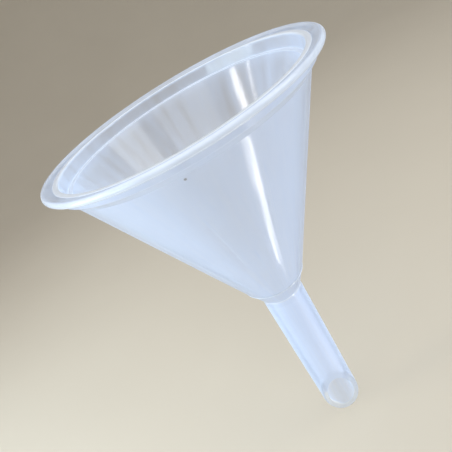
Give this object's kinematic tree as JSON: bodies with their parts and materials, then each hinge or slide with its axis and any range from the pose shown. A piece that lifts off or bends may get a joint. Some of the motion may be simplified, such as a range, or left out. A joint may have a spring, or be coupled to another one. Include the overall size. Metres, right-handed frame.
{
  "type": "laboratory funnel",
  "caption": "Milky translucent plastic funnel with a flat flanged rim, a stepped collar, a conical bowl and a long stem cut on a slant.",
  "frame": {"origin": "on the funnel's axis, at the shoulder where the neck runs into the stem", "axes": "+Z along the axis, up out of the mouth; the slanted cut of the stem's tip faces -Y"},
  "size_m": [0.0732, 0.0732, 0.1295],
  "materials": {
    "polypropylene": "milky translucent, smooth moulded gloss",
    "polypropylene_thick": "milky translucent, whiter where the wall is thicker"
  },
  "bodies": {
    "root": {"rim_bead": "polypropylene_thick", "rim_flange": "polypropylene", "collar": "polypropylene_thick", "collar_ledge": "polypropylene_thick", "cone": "polypropylene", "neck": "polypropylene_thick", "stem": "polypropylene", "stem_tip": "polypropylene"}
  },
  "joints": []
}
